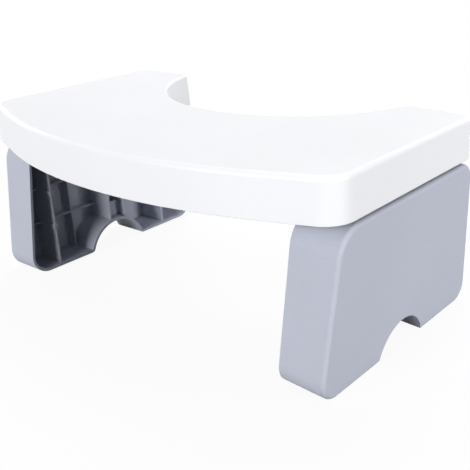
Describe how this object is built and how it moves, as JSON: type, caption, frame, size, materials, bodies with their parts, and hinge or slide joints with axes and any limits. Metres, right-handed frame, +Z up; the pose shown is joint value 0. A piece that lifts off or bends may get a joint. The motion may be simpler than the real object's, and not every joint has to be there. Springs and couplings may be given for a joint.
{
  "type": "toilet footstool",
  "caption": "Folding squat stool: a crescent top with a deep rear bay on ribbed shell legs that hinge and fold flat under it.",
  "frame": {"origin": "on the floor, under the middle of the stool's overall box", "axes": "+X across the stool to the right of someone who faces its bowed front from outside, looking along +Y; +Y from the bowed front to the open bay at the rear; +Z up"},
  "size_m": [0.417, 0.266, 0.178],
  "materials": {
    "top_plastic": "satin white moulded polypropylene",
    "leg_plastic": "fine satin pale violet grey moulded polypropylene",
    "steel": "drawn steel pin",
    "pad_rubber": "matte dark grey rubber"
  },
  "bodies": {
    "seat": {"top_plate": "top_plastic", "left_front_hinge_pin": "steel", "left_rear_hinge_pin": "steel", "right_front_hinge_pin": "steel", "right_rear_hinge_pin": "steel"},
    "left_side": {"left_leg": "leg_plastic", "left_front_foot_pad": "pad_rubber", "left_rear_foot_pad": "pad_rubber"},
    "right_side": {"right_leg": "leg_plastic", "right_front_foot_pad": "pad_rubber", "right_rear_foot_pad": "pad_rubber"}
  },
  "joints": [
    {"name": "left_leg_fold", "type": "hinge", "parent": "seat", "child": "left_side", "pos_m": [-0.17003, 0.01343, 0.1342], "axis": [0, -1, 0], "range_deg": [0, 89.1]},
    {"name": "right_leg_fold", "type": "hinge", "parent": "seat", "child": "right_side", "pos_m": [0.17003, 0.01343, 0.1342], "axis": [0, 1, 0], "range_deg": [0, 89.1]}
  ]
}
